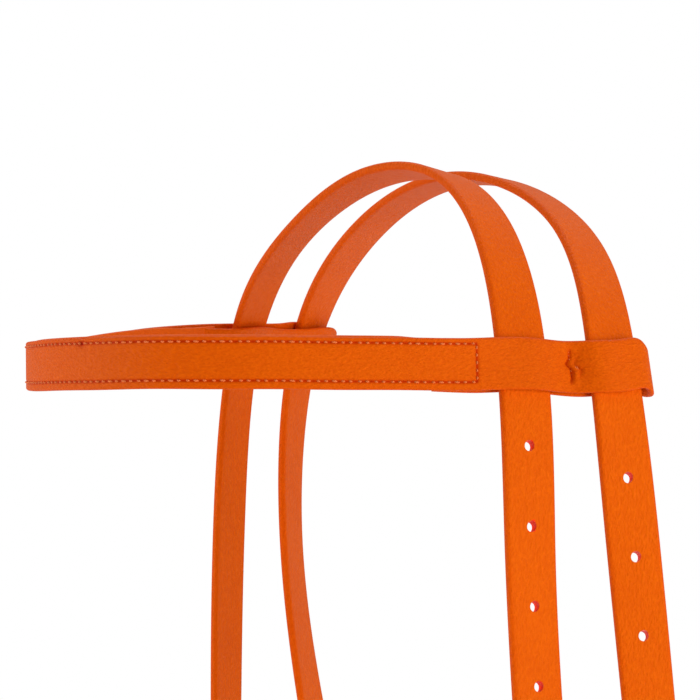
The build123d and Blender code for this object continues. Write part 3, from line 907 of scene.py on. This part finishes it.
def attribute(tree, name):
    """Number stored on the mesh, 0 where a mesh has none."""
    node = tree.nodes.new("ShaderNodeAttribute")
    node.attribute_name = name
    return node.outputs["Fac"]


def bumped(tree, shader, height, strength, distance):
    """Bump of a height on the shader's normal."""
    node = tree.nodes.new("ShaderNodeBump")
    node.inputs["Strength"].default_value = strength
    node.inputs["Distance"].default_value = distance
    tree.links.new(height, node.inputs["Height"])
    tree.links.new(node.outputs["Normal"], shader.inputs["Normal"])


def combined(tree, first, second, share):
    """first + second * share"""
    node = tree.nodes.new("ShaderNodeMath")
    node.operation = "MULTIPLY_ADD"
    node.inputs[1].default_value = share
    tree.links.new(second, node.inputs[0])
    tree.links.new(first, node.inputs[2])
    return node.outputs[0]


def leather_material(name, light, dark, grain, roughness, stretch):
    """Moulded leather: pebbles, creases, rolled edges darker partly by burnish and partly by
    painted shade, painted shade in the sewn channels, and cut holes.
    """
    material, tree, shader, place = fresh_material(name)
    shader.inputs["Specular IOR Level"].default_value = 0.22
    shader.inputs["Specular Tint"].default_value = SHEEN_TINT
    pebbles = tree.nodes.new("ShaderNodeTexVoronoi")
    pebbles.feature = "SMOOTH_F1"
    pebbles.inputs["Scale"].default_value = PEBBLE_SCALE
    drawn = tree.nodes.new("ShaderNodeMapping")
    drawn.inputs["Scale"].default_value = stretch
    tree.links.new(place, drawn.inputs["Vector"])
    tree.links.new(drawn.outputs["Vector"], pebbles.inputs["Vector"])
    creases = noise(tree, drawn.outputs["Vector"], CREASE_SCALE, 5.0, 0.62)
    patches = noise(tree, place, PATCH_SCALE, 3.0)
    height = combined(tree, creases, pebbles.outputs["Distance"], 0.55)
    bumped(tree, shader, height, grain, GRAIN_DEPTH)

    full = mapped(tree, patches, 0.0, 0.01)
    fleck = mixed(tree, mapped(tree, height, 0.6, 1.0), FLECK_TINT, WHITE)
    colour = mixed(tree, mapped(tree, patches, 0.25, 0.75), dark, light)
    colour = mixed(tree, full, colour, fleck, "MULTIPLY")
    # Rolled edges darkened: partly burnished colour, partly painted shade
    rolled = mixed(tree, full, colour, RIM_BURNISH_AND_SHADE_TINT, "MULTIPLY")
    colour = mixed(tree, attribute(tree, "rim"), colour, rolled)
    # Painted shade in the sewn channels, the tack slits and the pucker
    colour = mixed(tree, attribute(tree, "recess_shade"), colour, CHANNEL_SHADE_COLOUR)
    cut_wall = attribute(tree, "cut")
    colour = mixed(tree, cut_wall, colour, PUNCHED_COLOUR)
    tree.links.new(colour, shader.inputs["Base Color"])
    rough = mapped(tree, creases, 0.3, 0.7, roughness + 0.06, roughness - 0.06)
    tree.links.new(combined(tree, rough, cut_wall, -0.3), shader.inputs["Roughness"])
    return material


def thread_material(name):
    """Twisted sewing thread, a little paler than the leather, its dark and pale tones across the
    twist painted shade and painted highlight.
    """
    material, tree, shader, place = fresh_material(name)
    twist = tree.nodes.new("ShaderNodeTexWave")
    twist.bands_direction = "DIAGONAL"
    twist.inputs["Scale"].default_value = 900.0
    twist.inputs["Distortion"].default_value = 1.5
    tree.links.new(place, twist.inputs["Vector"])
    shader.inputs["Specular IOR Level"].default_value = 0.3
    bumped(tree, shader, twist.outputs["Fac"], 0.5, 0.0001)
    # Dark tone: painted shade between the plies; pale tone: painted highlight on them
    tree.links.new(mixed(tree, twist.outputs["Fac"], (0.60, 0.065, 0.005), (0.98, 0.27, 0.07)),
                   shader.inputs["Base Color"])
    rough = mapped(tree, twist.outputs["Fac"], 0.0, 1.0, 0.5, 0.65)
    tree.links.new(rough, shader.inputs["Roughness"])
    return material


def steel_material(name, light, dark, roughness):
    """Polished steel with a faint haze and fine scratches."""
    material, tree, shader, place = fresh_material(name)
    shader.inputs["Metallic"].default_value = 1.0
    stretch = tree.nodes.new("ShaderNodeMapping")
    stretch.inputs["Scale"].default_value = (1.0, 1.0, 9.0)
    tree.links.new(place, stretch.inputs["Vector"])
    scratches = noise(tree, stretch.outputs["Vector"], 260.0, 8.0, 0.7)
    haze = noise(tree, place, 55.0, 3.0)
    bumped(tree, shader, scratches, 0.12, 0.0001)
    colour = mixed(tree, mapped(tree, haze, 0.35, 0.65), dark, light)
    tree.links.new(colour, shader.inputs["Base Color"])
    worn = combined(tree, haze, scratches, 0.6)
    tree.links.new(mapped(tree, worn, 0.5, 1.1, roughness - 0.05, roughness + 0.1),
                   shader.inputs["Roughness"])
    return material


leather = leather_material(
    "orange_leather", (0.84, 0.128, 0.001), (0.80, 0.116, 0.001), 0.7, 0.5, (1.0, 1.0, 0.5))
# Browband leather: the straps' leather a little darker, painted shade for the band facing away from
# the light
band_leather_shaded = leather_material(
    "orange_band_leather", (0.81, 0.118, 0.001), (0.77, 0.107, 0.001), 0.7, 0.5, (0.6, 0.6, 1.1))
lining_leather = leather_material(
    "lining_leather", (0.84, 0.13, 0.008), (0.80, 0.11, 0.004), 0.3, 0.55, (0.6, 0.6, 1.1))
thread = thread_material("orange_thread")
stainless = steel_material("stainless", (0.72, 0.71, 0.69), (0.55, 0.55, 0.54), 0.2)
spring_steel = steel_material("spring_steel", (0.5, 0.5, 0.51), (0.36, 0.36, 0.37), 0.3)


# Pieces on their bodies


def dress(obj, material, body, node):
    """Gives a piece its material and body, in place of the CAD node it stands for."""
    obj.data.materials.clear()
    obj.data.materials.append(material)
    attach(obj, body)
    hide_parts(node)


def refinish(node_name, material):
    """Gives a shown CAD node its material."""
    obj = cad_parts[node_name]
    obj.data.materials.clear()
    obj.data.materials.append(material)


def dress_straps():
    """Straps, their keepers and their stitching."""
    dress(crown_strap(), leather, "bridle", "crown_cheek_strap")
    dress(throat_strap(), leather, "bridle", "throatlatch_strap")
    dress(cheek_strap(), leather, "bridle", "near_cheek_strap")
    for name, route, first_hole in (("cheek", CROWN_ROUTE, CROWN_FIRST_HOLE_Z),
                                    ("throat", THROAT_ROUTE, THROAT_FIRST_HOLE_Z)):
        heel_z = heel_height(first_hole)
        drop, gap = FIXED_KEEPER
        dress(keeper(name + "_keeper_fixed", route[0], heel_z + drop, gap), leather, "bridle",
              name + "_fixed_keeper")
        drop, gap = SLIDING_KEEPER
        dress(keeper(name + "_keeper_loose", route[0], heel_z + drop, gap), leather,
              name + "_keeper", name + "_sliding_keeper")
        end = heel_z - TURN_BACK_LENGTH
        sewn = turn_back_thread(name + "_buckle_thread", route[0], 1,
                                ((TURNED_FACE - LAYER_STEP, -1),),
                                end + BUCKLE_SEWN_TOP, end + END_STITCH_INSET)
        dress(sewn, thread, "bridle", name + "_buckle_stitching")
    top = SNAP_BAR_Z + SNAP_TURN_BACK - END_STITCH_INSET
    for name, place, outward, inset in (("near", CROWN_ROUTE[0], 1, LAYER_STEP),
                                        ("off", CROWN_ROUTE[-1], -1, 0.0)):
        faces = ((TURNED_FACE - inset, -1), (STRAP_THICK / 2 - inset, 1))
        sewn = turn_back_thread(name + "_cheek_thread", place, outward, faces,
                                top, top - SNAP_SEWN_LENGTH)
        dress(sewn, thread, "bridle", name + "_cheek_stitching")


def dress_browband():
    """Browband strap, lining, stitching and bar tacks."""
    dress(browband(), band_leather_shaded, "browband", "browband_strap")
    dress(lining(), lining_leather, "browband", "browband_lining")
    dress(browband_thread(), thread, "browband", "browband_stitching")
    for loop in LOOPS:
        dress(bar_tack(*loop), thread, "browband", loop[0] + "_bar_tack")


def dress_metal():
    """Steel on the buckles and snaps; each spring gets a mesh of its own."""
    for name in ("cheek", "throat"):
        refinish(name + "_buckle_frame", stainless)
        refinish(name + "_buckle_prong", stainless)
    for name in ("near", "off"):
        for part in ("eye", "hook", "bolt"):
            refinish(f"{name}_snap_{part}", stainless)
        spring = f"{name}_snap_spring"
        refinish(spring, spring_steel)
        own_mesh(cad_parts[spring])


# Camera, light and floor


def camera():
    """Long lens level with the browband, from in front of the near side."""
    azimuth, elevation = math.radians(CAMERA_AZIMUTH), math.radians(CAMERA_ELEVATION)
    back = Vector((math.sin(azimuth) * math.cos(elevation),
                   -math.cos(azimuth) * math.cos(elevation), math.sin(elevation)))
    right = Vector((math.cos(azimuth), math.sin(azimuth), 0.0))
    up = back.cross(right)
    data = bpy.data.cameras.new("camera")
    data.lens = CAMERA_LENS
    data.sensor_width = CAMERA_SENSOR
    obj = bpy.data.objects.new("camera", data)
    turn = Matrix((right, up, back)).transposed().to_4x4()
    obj.matrix_world = Matrix.Translation(Vector(CAMERA_PLACE)) @ turn
    bpy.context.scene.collection.objects.link(obj)
    bpy.context.scene.camera = obj


def area_light(name, place, target, size, power):
    """Rectangular softbox aimed at a target."""
    data = bpy.data.lights.new(name, "AREA")
    data.shape = "RECTANGLE"
    data.size, data.size_y = size
    data.energy = power
    obj = bpy.data.objects.new(name, data)
    aim = (Vector(target) - Vector(place)).to_track_quat("-Z", "Y")
    obj.matrix_world = Matrix.Translation(Vector(place)) @ aim.to_matrix().to_4x4()
    bpy.context.scene.collection.objects.link(obj)


def studio():
    """White surround for the camera, softer light for the object, pale floor below it."""
    world = bpy.data.worlds.new("studio")
    bpy.context.scene.world = world
    world.use_nodes = True
    tree = world.node_tree
    background = tree.nodes["Background"]
    background.inputs["Color"].default_value = (1.0, 1.0, 1.0, 1.0)
    path = tree.nodes.new("ShaderNodeLightPath")
    brightness = tree.nodes.new("ShaderNodeMapRange")
    brightness.inputs["To Min"].default_value = AMBIENT
    brightness.inputs["To Max"].default_value = 1.0
    tree.links.new(path.outputs["Is Camera Ray"], brightness.inputs["Value"])
    tree.links.new(brightness.outputs["Result"], background.inputs["Strength"])
    bpy.context.scene.view_settings.view_transform = "Standard"

    for softbox in SOFTBOXES:
        area_light(*softbox)

    bm = bmesh.new()
    bmesh.ops.create_circle(bm, cap_ends=True, segments=96, radius=FLOOR_RADIUS)
    mesh = bpy.data.meshes.new("floor")
    bm.to_mesh(mesh)
    bm.free()
    floor = new_object("floor", mesh)
    floor.location = (0.0, 0.0, cad_box[0][2] - FLOOR_DROP)
    material, floor_tree, shader, place = fresh_material("pale_floor")
    tint = mixed(floor_tree, noise(floor_tree, place, 3.0), (0.90, 0.90, 0.90), (0.93, 0.93, 0.93))
    floor_tree.links.new(tint, shader.inputs["Base Color"])
    shader.inputs["Roughness"].default_value = 0.85
    mesh.materials.append(material)


dress_straps()
dress_browband()
dress_metal()
camera()
studio()
